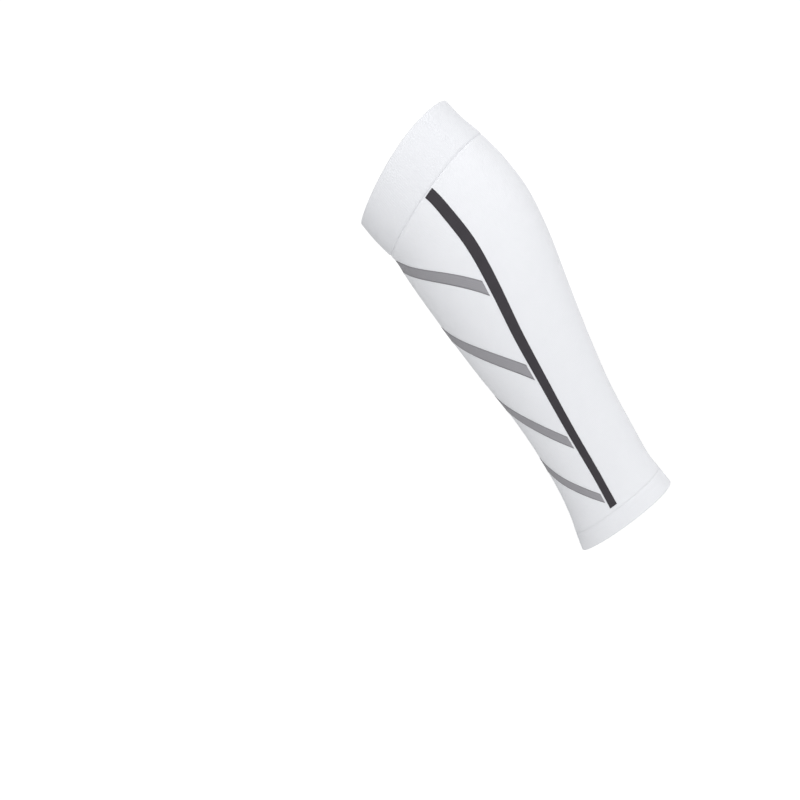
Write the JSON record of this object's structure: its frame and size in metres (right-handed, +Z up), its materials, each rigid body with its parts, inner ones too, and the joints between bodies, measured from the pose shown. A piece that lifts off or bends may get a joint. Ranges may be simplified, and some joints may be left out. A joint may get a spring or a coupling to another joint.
{
  "type": "footless compression calf sleeve",
  "caption": "Footless knitted compression sleeve in its worn calf shape, with a doubled knee cuff, a folded ankle hem, charcoal side stripes and grey shin chevrons.",
  "frame": {"origin": "centre of the ankle opening, where the sleeve sits on the leg", "axes": "+Z up the leg from the centre of the ankle opening to the centre of the knee opening, -Y towards the shin, +Y towards the calf, +X towards the outer side"},
  "size_m": [0.113, 0.129, 0.367],
  "materials": {
    "white_knit": "fine plain knit, cool white, matt with a slight sheen",
    "cuff_knit": "doubled fine rib knit, cool white, matt",
    "charcoal_yarn": "charcoal knit, matt",
    "grey_yarn": "mid grey knit with fine lines, matt"
  },
  "bodies": {
    "root": {"sleeve_body": "white_knit", "top_cuff": "cuff_knit", "bottom_hem": "white_knit", "side_stripe_outer": "charcoal_yarn", "side_stripe_inner": "charcoal_yarn", "shin_stripe_1": "grey_yarn", "shin_stripe_2": "grey_yarn", "shin_stripe_3": "grey_yarn", "shin_stripe_4": "grey_yarn"}
  },
  "joints": []
}
